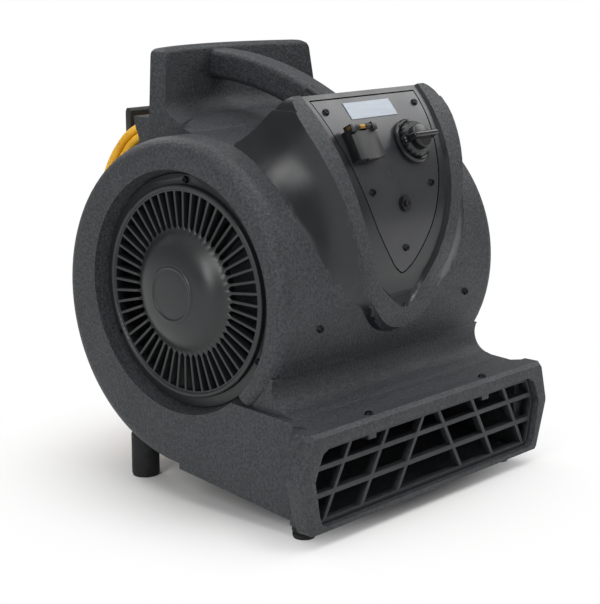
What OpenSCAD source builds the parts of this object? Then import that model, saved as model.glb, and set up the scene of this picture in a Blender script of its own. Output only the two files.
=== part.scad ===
// Centrifugal floor blower: one moulded volute housing with a low wide outlet, an inlet grille on
// each side, a shield-shaped control console, a rear tower with a carry handle and a wound lead.
// Units are millimetres. Z is up, the outlet faces -Y and the fan axis runs along X.

/* [Housing] */
// Half of the width across the two flat inlet sides
half_width = 172; // [150:1:190]
// Height of the fan axis above the floor
axis_h = 220; // [200:1:240]
// Fan axis behind the middle of the overall depth
axis_y = 8; // [0:1:20]
// Moulded wall thickness
wall = 4; // [3:0.5:6]
// Radius of the rounding between side faces and drum
shoulder = 16; // [6:1:24]
// Radius of the front upper arc of the scroll
scroll_front_r = 150; // [140:1:160]
// Radius of the rear upper arc of the scroll
scroll_rear_r = 170; // [160:1:180]
// Radius of the rear lower arc of the scroll
scroll_low_r = 172; // [160:1:185]

/* [Inlet] */
// Edge radius of the inlet recess in each side
recess_r = 125; // [115:1:130]
// Depth of the inlet recess
recess_depth = 19; // [10:1:25]
// Radius of the inlet hole under the grille flange
inlet_r = 107; // [100:1:112]
// Number of radial ribs in each inlet grille
rib_count = 52; // [36:1:64]
// Radius of the closed dome in the middle of each grille
dome_r = 64; // [50:1:80]

/* [Outlet] */
// Front plane of the outlet bezel in front of the fan axis
outlet_reach = 200; // [180:1:220]
// Depth of the bezel frame
bezel_depth = 23; // [15:1:30]
// Half width of the bezel at its widest level
bezel_half = 203; // [190:1:215]
// Height of the bezel top edge
bezel_top = 114; // [100:1:125]
// Height of the bezel bottom edge
bezel_low = 13; // [10:1:20]
// Thickness of the outlet grille bars
bar_t = 5; // [3:0.5:8]

/* [Console] */
// Radius of the curved console face
face_r = 189; // [170:1:210]
// Centre of the console face behind the fan axis
face_y = 31; // [20:1:40]
// Height of the centre of the console face
face_z = 276; // [260:1:290]
// Thickness of the control panel
panel_t = 3.4; // [2:0.2:5]
// Height of the raised rim round the console face
rim_h = 3.5; // [0:0.5:5]

/* [Handle and tower] */
// Height of the tower top
tower_top = 457; // [440:1:480]
// Half width of the tower at its top edge
tower_half = 111; // [100:1:118]
// Outer radius of the arched handle bar
handle_r = 382; // [360:1:400]
// Height of the handle bar section
handle_t = 32; // [25:1:36]
// Width of the handle bar section
handle_w = 30; // [25:1:36]

/* [Fan] */
// Outer radius of the blower wheel
wheel_r = 104; // [95:1:105]
// Number of forward-curved blades
blade_count = 36; // [24:1:48]
// Radius of the motor shell
motor_r = 62; // [50:1:68]
// Radius of the motor shaft
shaft_r = 6.35; // [5:0.05:8]

/* [Lead] */
// Diameter of the mains lead
cord_d = 9.5; // [7:0.5:11]
// Turns in the wound hank
hank_turns = 8; // [4:2:10]
// Spacing of neighbouring turns
hank_pitch = 11; // [10.5:0.1:12]

/* [Hidden] */
$fn = 72;
ax = [0, axis_y, axis_h];
// centres of the three scroll arcs, as distance behind and above the fan axis
arc_a = [2, 7];
arc_b = [2, 7 + scroll_front_r - scroll_rear_r];
arc_c = [arc_b[0] + scroll_rear_r - scroll_low_r, arc_b[1]];
scroll_low_z = arc_c[1] - scroll_low_r;
seat_x = half_width - recess_depth;
front_y = -outlet_reach;
handle_c = [117, tower_top - 5 - handle_r];
tower_c = -99;
tower_in = 206;
tower_low = 380;
floor_z = 366;

// points of the console outlines: height, half width
rim_z = [419, 395, 370, 343, 301, 249, 205, 186, 179];
rim_x = [112, 116, 111, 103, 88, 68, 46, 25, 0];
flank_z = [369, 345, 325, 302, 268, 217, 178, 158, 150];
flank_x = [135, 136, 135, 134, 121, 97, 62, 32, 0];
panel_z = [239, 250, 283, 320, 360, 388, 412];
panel_x = [5, 18, 42, 58, 70, 77, 81];
// edge of the shallow shield-shaped recess round the panel
shield_z = [207, 227, 258, 287, 322, 366, 414];
shield_x = [3, 32, 51, 63, 73, 82, 90];
// side view of the hollow under the handle: distance behind the fan axis, height
lip_y = [-92, -84, -74, -62, -45, -24, -3, 22, 56, 80, 106];
lip_z = [419, 409, 399.5, 385.5, 371.5, 366, 367.5, 372, 382, 385, 386];

function unit(v) = v / norm(v);
function flip(l) = [for (i = [len(l) - 1 : -1 : 0]) l[i]];
// smooth value through a list of control values, u from 0 to len - 1
function smooth(l, u) =
    let (n = len(l) - 1, i = min(floor(u), n - 1), t = u - i,
         p0 = i > 0 ? l[i - 1] : 2 * l[0] - l[1], p1 = l[i], p2 = l[i + 1],
         p3 = i + 2 <= n ? l[i + 2] : 2 * l[n] - l[n - 1])
    0.5 * (2 * p1 + (p2 - p0) * t + (2 * p0 - 5 * p1 + 4 * p2 - p3) * t * t
           + (3 * p1 - p0 - 3 * p2 + p3) * t * t * t);

// height on the console face to its tilt
function tilt(z) = asin((z - face_z) / face_r);
// front of the console face and of the drum at a height, behind the fan axis
function face_front(z) = face_y - sqrt(max(face_r * face_r - (z - face_z) * (z - face_z), 1));
function drum_front(z) =
    let (v = z - axis_h - arc_a[1])
    arc_a[0] - sqrt(max(scroll_front_r * scroll_front_r - v * v, 1));

// turns a profile drawn as [radius, x] about the fan axis, theta from the front over the top
module about_axis(c = [0, 0], a = 0, b = 360) {
    translate([0, axis_y + c[0], axis_h + c[1]])
        rotate([0, 90, 0])
            rotate([0, 0, -90 - b])
                rotate_extrude(angle = b - a)
                    children();
}

// extrudes a profile drawn as [y behind the axis, z] across the width
module across(w) {
    translate([-w, axis_y, 0])
        rotate([90, 0, 90])
            linear_extrude(2 * w)
                children();
}

// extrudes a profile drawn as [x, z] forwards from y to y + d, measured from the fan axis
module along(y, d) {
    translate([0, axis_y + y + d, 0])
        rotate([90, 0, 0])
            linear_extrude(d)
                children();
}

// local Z points out of the console face at [x, height]
module on_panel(x, z, r = face_r - 0.6) {
    translate([x, axis_y + face_y - r * cos(tilt(z)), face_z + r * sin(tilt(z))])
        rotate([90 - tilt(z), 0, 0])
            children();
}

module face_cylinder(r) {
    translate([0, axis_y + face_y, face_z])
        rotate([0, 90, 0])
            cylinder(r = r, h = 2 * half_width, center = true, $fn = 240);
}

module mirror_x() {
    children();
    mirror([1, 0, 0])
        children();
}

module rounded_rect(x, y, r) {
    translate([r, 0])
        square([x - 2 * r, y]);
    translate([0, r])
        square([x, y - 2 * r]);
    for (i = [r, x - r], j = [r, y - r])
        translate([i, j])
            circle(r);
}

module drum_profile(r, hw, s) {
    translate([0, -hw])
        square([r - s, 2 * hw]);
    translate([0, s - hw])
        square([r, 2 * hw - 2 * s]);
    for (h = [hw - s, s - hw])
        translate([r - s, h])
            circle(s);
}

module scroll(inset, hw, s) {
    intersection() {
        union() {
            about_axis(arc_a, -48, 90)
                half_plane(scroll_front_r - inset, hw, s);
            about_axis(arc_b, 90, 180)
                half_plane(scroll_rear_r - inset, hw, s);
            about_axis(arc_c, 180, 270)
                half_plane(scroll_low_r - inset, hw, s);
            about_axis([0, 0])
                translate([0, -hw])
                    square([112, 2 * hw]);
        }
    }
}

module half_plane(r, hw, s) {
    intersection() {
        drum_profile(r, hw, s);
        translate([0, -hw])
            square([r, 2 * hw]);
    }
}

// side view of the outlet box from the bezel back under the fan axis
module box_side(t) {
    z0 = axis_h + scroll_low_z;
    polygon([[front_y + 20, 115.5 - t], [-45, 121.5 - t], [0, 121.5 - t], [0, z0 + t],
             [front_y + 20, bezel_low + 1 + t]]);
}

bezel_outline = [[-193, bezel_top - 3], [-190, bezel_top], [190, bezel_top], [193, bezel_top - 3],
                 [bezel_half, 72], [bezel_half, 68], [187, bezel_low + 3], [184, bezel_low],
                 [-184, bezel_low], [-187, bezel_low + 3], [-bezel_half, 68], [-bezel_half, 72]];

function opening(g) = [[-164 - g, 100 + g], [164 + g, 100 + g], [175 + g, 94], [179 + g, 86],
                       [186 + g, 69], [179 + g, 32], [176 + g, 25], [170 + g, 21 - g],
                       [-170 - g, 21 - g], [-176 - g, 25], [-179 - g, 32], [-186 - g, 69],
                       [-179 - g, 86], [-175 - g, 94]];

module bezel() {
    along(front_y + 6, bezel_depth - 6)
        polygon(bezel_outline);
    // eased front edge
    hull() {
        along(front_y, 1)
            polygon([for (p = bezel_outline) [p[0] * 0.98, (p[1] - 64) * 0.94 + 64]]);
        along(front_y + 6, 1)
            polygon(bezel_outline);
    }
    hull() {
        along(front_y + bezel_depth - 1, 1)
            polygon([for (p = bezel_outline) [p[0] * 0.985, (p[1] - 64) * 0.985 + 64]]);
        along(front_y + bezel_depth + 19, 1)
            translate([-half_width, bezel_low + 4])
                square([2 * half_width, 95]);
    }
}

// the console hood: a lofted shield whose concave flanks run out onto the drum
module hood() {
    n = 24;
    levels = 7;
    top = len(rim_z) - 1;
    side = [for (i = [0 : n])
        let (u = top * i / n,
             zr = smooth(rim_z, u), xr = i == n ? 0 : max(smooth(rim_x, u), 0),
             zb = smooth(flank_z, u), xb = i == n ? 0 : max(smooth(flank_x, u), 0),
             yr = min(face_front(zr) - rim_h, drum_front(zr) - 4),
             yb = drum_front(zb) + 1,
             rim = [xr, yr, zr], base = [xb, yb, zb],
             knee = [xr + 0.2 * (xb - xr), yr + 0.9 * (yb - yr), zr + 0.52 * (zb - zr)])
        concat(
            [[xb, yb + 14, zb - (i < 5 ? 10 : 0)]],
            [for (k = [0 : levels]) let (t = k / levels)
                (1 - t) * (1 - t) * base + 2 * t * (1 - t) * knee + t * t * rim])];
    rows = levels + 2;
    ring = concat([for (i = [0 : n]) i], [for (i = [n - 1 : -1 : 0]) i]);
    m = len(ring);
    points = [for (k = [0 : rows - 1], j = [0 : m - 1])
        let (p = side[ring[j]][k]) [j > n ? -p[0] : p[0], p[1] + axis_y, p[2]]];
    walls = [for (k = [0 : rows - 2], j = [0 : m - 2])
        each [[k * m + j, k * m + j + 1, (k + 1) * m + j + 1],
              [k * m + j, (k + 1) * m + j + 1, (k + 1) * m + j]]];
    ends = [for (k = [0 : rows - 2])
        each [[k * m + m - 1, k * m, (k + 1) * m],
              [k * m + m - 1, (k + 1) * m, (k + 1) * m + m - 1]]];
    low = [for (j = [0 : n - 1])
        each j == n - 1 ? [[n - 1, m - n, n]]
            : [[j, m - 1 - j, j + 1], [j + 1, m - 1 - j, m - 2 - j]]];
    q = (rows - 1) * m;
    high = [for (f = low) [q + f[0], q + f[2], q + f[1]]];
    polyhedron(points, concat(walls, ends, low, high), convexity = 6);
}

function lip(from) = [for (i = [0 : 60])
    let (u = from + (len(lip_y) - 1 - from) * i / 60) [smooth(lip_y, u), smooth(lip_z, u)]];

// body under the hollow, behind the drum top
module saddle() {
    across(118)
        polygon(concat(lip(3), [[118, 386], [116, 376], [110, 362], [120, 340], [118, 316], [40, 300],
                                [-60, 300], [-80, 340]]));
}

// space above the hollow
module scoop() {
    across(136)
        polygon(concat(lip(0), [[106, 520], [-92, 520]]));
}

module tower_front() {
    along(20, 140)
        polygon([[-tower_half - 9, tower_low - 10], [tower_half + 9, tower_low - 10], [tower_half + 8, 385],
                 [tower_half, tower_top - 8], [tower_half - 2, tower_top - 3], [tower_half - 6, tower_top],
                 [6 - tower_half, tower_top], [2 - tower_half, tower_top - 3], [-tower_half, tower_top - 8],
                 [-tower_half - 8, 385]]);
}

module tower_shape() {
    intersection() {
        translate([0, axis_y + tower_c, 0])
            union() {
                rotate_extrude($fn = 96)
                    translate([tower_in, tower_low])
                        rounded_rect(20, tower_top - tower_low, 6);
                // rounded corner between the hollow's floor and the tower
                rotate_extrude($fn = 96)
                    translate([tower_in - 22, tower_low - 2])
                        difference() {
                            square([23, 28]);
                            translate([0, 28])
                                circle(22);
                        }
            }
        tower_front();
    }
}

module handle_bar() {
    translate([0, axis_y + handle_c[0], handle_c[1]])
        rotate([0, 90, 0])
            rotate([0, 0, 180 - 0.5])
                rotate_extrude(angle = 33.5, $fn = 160)
                    translate([handle_r - handle_t, -handle_w / 2])
                        rounded_rect(handle_t, handle_w, 7);
}

module outer_shell() {
    difference() {
        union() {
            scroll(0, half_width, shoulder);
            across(half_width)
                box_side(0);
            bezel();
            // soft corner where the drum front meets the outlet deck
            across(half_width - 6)
                difference() {
                    polygon([[-147, 117], [-147, 141], [-128, 152], [-100, 150], [-100, 117]]);
                    translate([-147, 141])
                        circle(22);
                }
            hood();
            saddle();
        }
        scoop();
    }
    tower_shape();
    mirror_x() {
        // rear leg stub and front foot pad
        translate([135, axis_y + 92, 30])
            cylinder(r = 12, h = 60);
        translate([162, axis_y - 164, bezel_low])
            cylinder(r = 14, h = 12);
    }
    // boss for the lead gland
    translate([48, axis_y + 106, 408])
        rotate([-90, 0, 0])
            cylinder(r = 17, h = 21);
    // pads for the two cord hooks
    across(42)
        polygon([[100, 317], [132, 317], [132, 348], [100, 352]]);
    across(42)
        polygon([[120, 118], [150, 126], [160, 126], [160, 146], [130, 150]]);
}

module cavity() {
    difference() {
        union() {
            intersection() {
                scroll(wall, half_width - wall, shoulder - wall);
                translate([-300, -300, 0])
                    cube([600, 600, floor_z - wall]);
            }
            across(half_width - wall)
                box_side(wall);
        }
        mirror_x() {
            translate([seat_x - wall, axis_y, axis_h])
                rotate([0, 90, 0])
                    cylinder(r = recess_r + wall, h = 40);
            translate([half_width - 48, axis_y + 92, 20])
                cylinder(r = 14, h = 62);
        }
    }
    along(front_y - 1, 22)
        polygon(opening(0));
}

module shield(lx, lz, tip, g) {
    pts = [for (i = [0 : 36])
        let (u = 6 * i / 36) [smooth(lx, u) + g, smooth(lz, u) + (i == 36 ? g : 0)]];
    polygon(concat([[0, lz[0] - tip - g]], pts, [for (p = flip(pts)) [-p[0], p[1]]]));
}

module panel_outline(g) {
    shield(panel_x, panel_z, 2, g);
}

panel_screw_at = [[-70, 402], [70, 402], [-47, 324], [47, 324], [0, 263]];
grille_screw_deg = [90, 210, 330];
deck_screw_at = [[-94, bezel_top], [94, bezel_top]];
hook_screw_at = [-24, 24];
drum_screw_at = [-118, 118];

module housing() {
    color("#45474a")
        difference() {
            union() {
                difference() {
                    outer_shell();
                    cavity();
                }
                handle_bar();
            }
            mirror_x() {
                translate([seat_x, axis_y, axis_h])
                    rotate([0, 90, 0])
                        cylinder(r1 = recess_r - 5, r2 = recess_r, h = recess_depth + 0.01, $fn = 96);
                translate([seat_x - 30, axis_y, axis_h])
                    rotate([0, 90, 0])
                        cylinder(r = inlet_r, h = 40, $fn = 96);
                for (a = grille_screw_deg)
                    translate([seat_x - 12, axis_y + 114 * cos(a), axis_h + 114 * sin(a)])
                        rotate([0, 90, 0])
                            cylinder(r = 1.75, h = 20, $fn = 24);
                translate([162, axis_y - 164, 0])
                    cylinder(r = 2.1, h = 24, $fn = 24);
                translate([135, axis_y + 92, 20])
                    cylinder(r = 2.1, h = 34, $fn = 24);
            }
            // shallow recess inside the raised rim
            intersection() {
                along(-190, 120)
                    shield(shield_x, shield_z, 1, 0);
                difference() {
                    face_cylinder(face_r + 14);
                    face_cylinder(face_r);
                }
            }
            // seat for the control panel and the wiring space behind it
            intersection() {
                along(-190, 120)
                    panel_outline(0.4);
                difference() {
                    face_cylinder(face_r + 14);
                    face_cylinder(face_r - 0.6 - panel_t);
                }
            }
            intersection() {
                union() {
                    across(66)
                        polygon([[-150, 334], [-112, 334], [-92, 360], [-86, 372], [-86, 390], [-98, 402],
                                 [-150, 402]]);
                    across(20)
                        polygon([[-165, 291], [-135.6, 291], [-132, 305], [-129.6, 318], [-111, 345], [-165, 345]]);
                }
                face_cylinder(face_r - 3);
            }
            for (p = panel_screw_at)
                on_panel(p[0], p[1])
                    translate([0, 0, -16])
                        cylinder(r = 1.75, h = 20, $fn = 24);
            for (p = deck_screw_at)
                translate([p[0], axis_y - 188, 96])
                    cylinder(r = 2.25, h = 40, $fn = 24);
            for (x = drum_screw_at)
                translate([x, axis_y - 160, 197])
                    rotate([-90, 0, 0])
                        cylinder(r = 1.75, h = 30, $fn = 24);
            for (x = hook_screw_at) {
                translate([x, axis_y + 112, 341])
                    rotate([-90, 0, 0])
                        cylinder(r = 2.1, h = 40, $fn = 24);
                translate([x, axis_y + 144, 139])
                    rotate([-90, 0, 0])
                        cylinder(r = 2.1, h = 40, $fn = 24);
            }
            // way in for the lead
            translate([48, axis_y + 107, 408])
                rotate([-90, 0, 0])
                    cylinder(r = 8.2, h = 40, $fn = 48);
        }
}

module ring_2d(inner, outer) {
    difference() {
        circle(r = outer, $fn = 96);
        circle(r = inner, $fn = 96);
    }
}

module inlet_grille() {
    rotate([0, 90, 0]) {
        difference() {
            union() {
                linear_extrude(3.6)
                    ring_2d(104, 119.6);
                // raised lip
                rotate_extrude($fn = 96)
                    translate([104, 0])
                        rounded_rect(5.4, 10, 2);
                linear_extrude(8.5) {
                    ring_2d(dome_r - 3, dome_r);
                    ring_2d(102.6, 106);
                    for (i = [0 : rib_count - 1])
                        rotate(360 * i / rib_count)
                            translate([dome_r - 2, -1.3])
                                square([104 - dome_r + 2, 2.6]);
                }
                // dome
                rotate_extrude($fn = 96)
                    intersection() {
                        translate([0, -93])
                            difference() {
                                circle(r = 120, $fn = 120);
                                circle(r = 117, $fn = 120);
                            }
                        square([dome_r - 1, 40]);
                    }
                // plain raised ring in the middle of the dome
                rotate_extrude($fn = 72)
                    translate([26, 20])
                        rounded_rect(4, 5.4, 1.2);
            }
            for (a = grille_screw_deg)
                rotate([0, 0, a])
                    translate([0, 114, -1])
                        cylinder(r = 2, h = 8, $fn = 24);
        }
    }
}

module inlet_grille_left() {
    color("#2c2e31")
        translate([-seat_x, axis_y, axis_h])
            mirror([1, 0, 0])
                inlet_grille();
}

module inlet_grille_right() {
    color("#2c2e31")
        translate([seat_x, axis_y, axis_h])
            inlet_grille();
}

module screw(r, head_r, head_h, length) {
    difference() {
        union() {
            cylinder(r = r, h = length, $fn = 24);
            translate([0, 0, length])
                cylinder(r1 = head_r, r2 = head_r * 0.75, h = head_h, $fn = 24);
        }
        for (a = [0, 90])
            rotate([0, 0, a])
                translate([-head_r * 0.55, -0.45, length + head_h * 0.4])
                    cube([head_r * 1.1, 0.9, head_h]);
    }
}

module grille_screws() {
    color("#1c1d1f")
        mirror_x()
            for (a = grille_screw_deg)
                translate([seat_x - 8.4, axis_y + 114 * cos(a), axis_h + 114 * sin(a)])
                    rotate([0, 90, 0])
                        screw(1.7, 3.8, 2.4, 12);
}

module outlet_grille() {
    color("#37393c")
        difference() {
            union() {
                along(front_y + 7, 8)
                    difference() {
                        polygon(opening(-0.4));
                        polygon(opening(-5.4));
                    }
                along(front_y + 7, 8)
                    intersection() {
                        polygon(opening(-0.4));
                        union() {
                            for (z = [78, 51])
                                translate([-200, z - bar_t / 2])
                                    square([400, bar_t]);
                            for (s = [-1, 1], i = [0 : 2])
                                polygon([[s * (9 + 57 * i - 2.4), 102], [s * (9 + 57 * i + 2.4), 102],
                                         [s * (57 + 56 * i + 2.4), 19], [s * (57 + 56 * i - 2.4), 19]]);
                        }
                    }
                // screw blocks under the deck
                for (p = deck_screw_at)
                    translate([p[0] - 6, axis_y + front_y + 7, 90])
                        cube([12, 10, 9.6]);
            }
            for (p = deck_screw_at)
                translate([p[0], axis_y - 188, 86])
                    cylinder(r = 1.75, h = 16, $fn = 24);
        }
}

module outlet_screws() {
    color("#1c1d1f")
        for (p = deck_screw_at)
            translate([p[0], axis_y - 188, 93])
                screw(1.7, 4.4, 2.4, 21.1);
}

module drum_screws() {
    color("#1c1d1f")
        for (x = drum_screw_at)
            translate([x, axis_y + drum_front(197) + 10, 197])
                rotate([90, 0, 0])
                    screw(1.7, 4, 2.2, 10.8);
}

module control_panel() {
    color("#3a3c40")
        difference() {
            intersection() {
                along(-190, 120)
                    panel_outline(0);
                difference() {
                    face_cylinder(face_r - 0.6);
                    face_cylinder(face_r - 0.6 - panel_t);
                }
            }
            for (p = panel_screw_at)
                on_panel(p[0], p[1])
                    translate([0, 0, -10])
                        cylinder(r = 2, h = 20, $fn = 24);
            on_panel(knob_at[0], knob_at[1])
                translate([0, 0, -12])
                    cylinder(r = 6.2, h = 24, $fn = 48);
            on_panel(reset_at[0], reset_at[1])
                translate([0, 0, -12])
                    cylinder(r = 6.2, h = 24, $fn = 48);
            on_panel(socket_at[0], socket_at[1])
                translate([-15.2, -12.2, -12])
                    cube([30.4, 24.4, 24]);
        }
}

knob_at = [33, 366];
reset_at = [0, 308];
socket_at = [-46, 368];
// hinge line of the socket flap above the panel
hinge_h = 11.3;

module panel_screws() {
    color("#15161a")
        for (p = panel_screw_at)
            on_panel(p[0], p[1])
                translate([0, 0, -9.7])
                    screw(1.7, 3.9, 2.2, 10);
}

module label_plate() {
    color("#c9ccd0")
        intersection() {
            along(-190, 120)
                translate([-39, 393])
                    square([72, 15]);
            difference() {
                face_cylinder(face_r);
                face_cylinder(face_r - 0.55);
            }
        }
}

module dial_ring() {
    color("#26282b")
        difference() {
            on_panel(knob_at[0], knob_at[1])
                difference() {
                    translate([0, 0, -3])
                        union() {
                            cylinder(r = 24, h = 6.5, $fn = 72);
                            translate([0, 0, 6.5])
                                cylinder(r1 = 24, r2 = 22.4, h = 1.5, $fn = 72);
                        }
                    translate([0, 0, -6])
                        cylinder(r = 8, h = 20, $fn = 48);
                    // shallow dish under the knob and four position notches
                    translate([0, 0, 3.5])
                        cylinder(r = 20.4, h = 4, $fn = 72);
                    for (a = [0, 45, 90, 135])
                        rotate([0, 0, a])
                            translate([20, -0.6, 4.4])
                                cube([5, 1.2, 2]);
                }
            face_cylinder(face_r - 0.45);
        }
}

module speed_knob() {
    color("#1d1e21")
        on_panel(knob_at[0], knob_at[1]) {
            difference() {
                union() {
                    translate([0, 0, 4])
                        cylinder(r = 19.4, h = 5, $fn = 72);
                    translate([0, 0, 9])
                        cylinder(r1 = 19.4, r2 = 17.2, h = 4, $fn = 72);
                    // finger grip
                    translate([-18.4, -4.5, 4])
                        cube([38.2, 9, 21]);
                }
                // pointer groove
                translate([9, -0.7, 24.2])
                    cube([12, 1.4, 2]);
                for (a = [0 : 18 : 359])
                    rotate([0, 0, a])
                        translate([20.2, 0, 3])
                            cylinder(r = 1.6, h = 12, $fn = 16);
            }
            translate([0, 0, -20])
                cylinder(r = 3, h = 26, $fn = 36);
        }
}

module speed_switch() {
    color("#202225")
        on_panel(knob_at[0], knob_at[1])
            difference() {
                union() {
                    translate([-16, -13, -31])
                        cube([32, 26, 26]);
                    translate([0, 0, -6])
                        cylinder(r = 6, h = 8.5, $fn = 48);
                }
                translate([0, 0, -24])
                    cylinder(r = 3.06, h = 40, $fn = 36);
            }
}

module switch_nut() {
    color("#b9bcc0")
        on_panel(knob_at[0], knob_at[1])
            difference() {
                translate([0, 0, 0.02])
                    cylinder(r = 7.8, h = 2.2, $fn = 6);
                translate([0, 0, -1])
                    cylinder(r = 6.05, h = 6, $fn = 48);
            }
}

module breaker_body() {
    color("#202225")
        on_panel(reset_at[0], reset_at[1])
            difference() {
                union() {
                    translate([-8.5, -10, -22])
                        cube([17, 20, 17]);
                    translate([0, 0, -6])
                        cylinder(r = 6, h = 9, $fn = 48);
                }
                translate([0, 0, -12])
                    cylinder(r = 3.9, h = 20, $fn = 36);
            }
}

module breaker_nut() {
    color("#b9bcc0")
        on_panel(reset_at[0], reset_at[1])
            difference() {
                translate([0, 0, 0.05])
                    union() {
                        cylinder(r = 9, h = 1, $fn = 48);
                        cylinder(r = 8.2, h = 2.9, $fn = 6);
                    }
                translate([0, 0, -1])
                    cylinder(r = 6.05, h = 8, $fn = 48);
            }
}

module reset_button() {
    color("#101113")
        on_panel(reset_at[0], reset_at[1])
            translate([0, 0, -11.5])
                difference() {
                    cylinder(r = 3.84, h = 16.5, $fn = 36);
                    translate([0, 0, 15.9])
                        cylinder(r = 2.4, h = 2, $fn = 36);
                }
}

module socket_body() {
    color("#1b1c1f")
        on_panel(socket_at[0], socket_at[1])
            difference() {
                union() {
                    translate([-15, -12, -30])
                        cube([30, 24, 34]);
                    difference() {
                        translate([-19, -16, -1])
                            cube([38, 32, 9]);
                        translate([0, 0, 0])
                            on_panel_inverse();
                    }
                    // hinge ears
                    for (x = [-19, 13])
                        translate([x, 11.6, 4])
                            cube([6, 8.4, 10.4]);
                }
                translate([-20, 16.5, hinge_h])
                    rotate([0, 90, 0])
                        cylinder(r = 1.3, h = 40, $fn = 24);
                // face recess and contact slots
                translate([-14, -11, 5.5])
                    cube([28, 22, 8]);
                for (x = [-6.4, 6.4])
                    translate([x - 1, -2, -14])
                        cube([2, 8, 30]);
                translate([0, -6.6, -14])
                    cylinder(r = 2.4, h = 30, $fn = 24);
            }
}

// the console face cylinder seen from the socket's own frame
module on_panel_inverse() {
    t = tilt(socket_at[1]);
    translate([0, 0, 0.02 - (face_r - 0.6)])
        rotate([0, 90, 0])
            cylinder(r = face_r - 0.6, h = 80, center = true, $fn = 240);
}

module socket_flap() {
    color("#2b2d31")
        on_panel(socket_at[0], socket_at[1]) {
            difference() {
                union() {
                    translate([-19, -17, 8.5])
                        cube([38, 27.6, 3.2]);
                    translate([-12.6, 10, 8.5])
                        cube([25.2, 6.5, 3.2]);
                    translate([-12.6, 16.5, hinge_h])
                        rotate([0, 90, 0])
                            cylinder(r = 2.8, h = 25.2, $fn = 36);
                    // finger lip
                    translate([-9, -18.6, 8.5])
                        cube([18, 2, 4.6]);
                }
                translate([-20, 16.5, hinge_h])
                    rotate([0, 90, 0])
                        cylinder(r = 1.34, h = 40, $fn = 24);
                // room for the spring coil
                translate([-4.6, 12.6, 5])
                    cube([9.2, 9, 12]);
            }
        }
}

module flap_pin() {
    color("#b08d4a")
        on_panel(socket_at[0], socket_at[1])
            translate([-20.5, 16.5, hinge_h])
                rotate([0, 90, 0])
                    union() {
                        cylinder(r = 1.27, h = 41, $fn = 24);
                        translate([0, 0, 0])
                            cylinder(r = 2.1, h = 1.4, $fn = 24);
                    }
}

module flap_spring() {
    color("#c8b27a")
        on_panel(socket_at[0], socket_at[1]) {
            for (i = [0 : 4])
                translate([-3.2 + 1.6 * i, 16.5, hinge_h])
                    rotate([0, 90, 0])
                        rotate_extrude($fn = 36)
                            translate([1.95, 0])
                                circle(r = 0.55, $fn = 16);
            translate([-3.6, 16.5, hinge_h + 1.5])
                cube([7.2, 0.9, 0.8]);
        }
}

module impeller() {
    color("#5a5d60")
        translate([0, axis_y, axis_h])
            rotate([0, 90, 0])
                difference() {
                    union() {
                        for (z = [-72, 68])
                            translate([0, 0, z])
                                difference() {
                                    cylinder(r = wheel_r, h = 4, $fn = 96);
                                    translate([0, 0, -1])
                                        cylinder(r = wheel_r - 16, h = 6, $fn = 96);
                                }
                        translate([0, 0, -8])
                            cylinder(r = wheel_r - 1, h = 4, $fn = 96);
                        translate([0, 0, -26])
                            cylinder(r = 19, h = 32, $fn = 60);
                        translate([0, 0, -72])
                            linear_extrude(144)
                                for (i = [0 : blade_count - 1])
                                    rotate(360 * i / blade_count)
                                        intersection() {
                                            translate([wheel_r - 9, -13])
                                                difference() {
                                                    circle(r = 16.6, $fn = 40);
                                                    circle(r = 15, $fn = 40);
                                                }
                                            translate([wheel_r - 16, -4])
                                                square([15.4, 12]);
                                        }
                    }
                    translate([0, 0, -40])
                        cylinder(r = shaft_r, h = 60, $fn = 48);
                    translate([0, 0, -18])
                        rotate([0, 90, 0])
                            cylinder(r = 2.5, h = 40, $fn = 24);
                }
}

module hub_set_screw() {
    color("#8d9094")
        translate([-18, axis_y, axis_h])
            mirror([0, 0, 1])
                translate([0, 0, shaft_r + 0.02])
                    difference() {
                        cylinder(r = 2.45, h = 10, $fn = 24);
                        translate([0, 0, 7])
                            cylinder(r = 1.4, h = 5, $fn = 6);
                    }
}

module motor_shaft() {
    color("#a9acb0")
        translate([-34, axis_y, axis_h])
            rotate([0, 90, 0])
                cylinder(r = shaft_r, h = 166, $fn = 48);
}

module motor_rotor() {
    color("#7c7f83")
        translate([44, axis_y, axis_h])
            rotate([0, 90, 0])
                difference() {
                    cylinder(r = 33, h = 64, $fn = 60);
                    translate([0, 0, -1])
                        cylinder(r = shaft_r, h = 70, $fn = 48);
                }
}

module motor_stator() {
    color("#8a5a2c")
        translate([46, axis_y, axis_h])
            rotate([0, 90, 0])
                difference() {
                    cylinder(r = motor_r - 3, h = 60, $fn = 72);
                    translate([0, 0, -1])
                        cylinder(r = 33.6, h = 70, $fn = 60);
                }
}

module motor_shell() {
    color("#2a2b2e")
        translate([24, axis_y, axis_h])
            rotate([0, 90, 0])
                difference() {
                    cylinder(r = motor_r, h = 104, $fn = 72);
                    translate([0, 0, -1])
                        cylinder(r = motor_r - 3, h = 110, $fn = 72);
                    for (a = [0 : 30 : 359])
                        rotate([0, 0, a])
                            translate([motor_r - 6, -2, 8])
                                cube([10, 4, 22]);
                }
}

module end_bell() {
    difference() {
        union() {
            cylinder(r = motor_r, h = 7, $fn = 72);
            translate([0, 0, 6])
                cylinder(r1 = 34, r2 = 26, h = 9, $fn = 60);
        }
        translate([0, 0, -1])
            cylinder(r = 16.02, h = 10, $fn = 48);
        translate([0, 0, 5])
            cylinder(r = shaft_r + 1, h = 20, $fn = 48);
        for (a = [45 : 90 : 359])
            rotate([0, 0, a])
                translate([52, 0, -1])
                    cylinder(r = 2.6, h = 12, $fn = 24);
    }
}

module motor_bell_inner() {
    color("#33353a")
        translate([24, axis_y, axis_h])
            rotate([0, -90, 0])
                end_bell();
}

module motor_bell_outer() {
    color("#33353a")
        translate([128, axis_y, axis_h])
            rotate([0, 90, 0])
                end_bell();
}

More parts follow.
